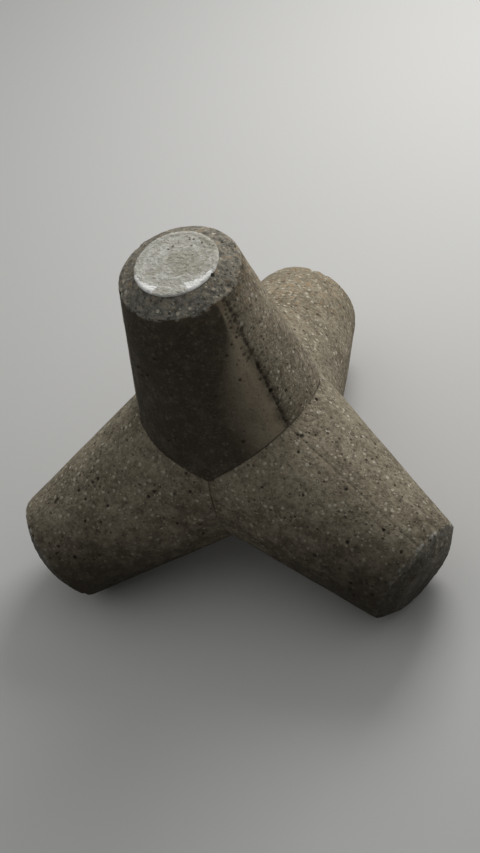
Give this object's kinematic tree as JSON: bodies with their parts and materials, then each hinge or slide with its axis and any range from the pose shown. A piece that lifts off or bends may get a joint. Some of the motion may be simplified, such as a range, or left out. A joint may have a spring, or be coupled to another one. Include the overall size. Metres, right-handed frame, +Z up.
{
  "type": "concrete tetrapod",
  "caption": "Cast concrete armour unit for breakwaters and sea walls: tapered legs with bevelled ends spread evenly from its middle, so that units interlock in a pile.",
  "frame": {"origin": "where the axes of the legs cross, which is the centre of mass", "axes": "+Z up along the leg that the concrete was poured through, +Y over one of the lower legs, +X to the right of it seen from behind that leg; the unit stands on the rims of its lower legs"},
  "size_m": [2.6676, 2.4097, 2.2529],
  "materials": {
    "concrete": "weathered mould-cast concrete, grey-brown, pitted and speckled with aggregate"
  },
  "bodies": {
    "root": {"tetrapod": "concrete"}
  },
  "joints": []
}
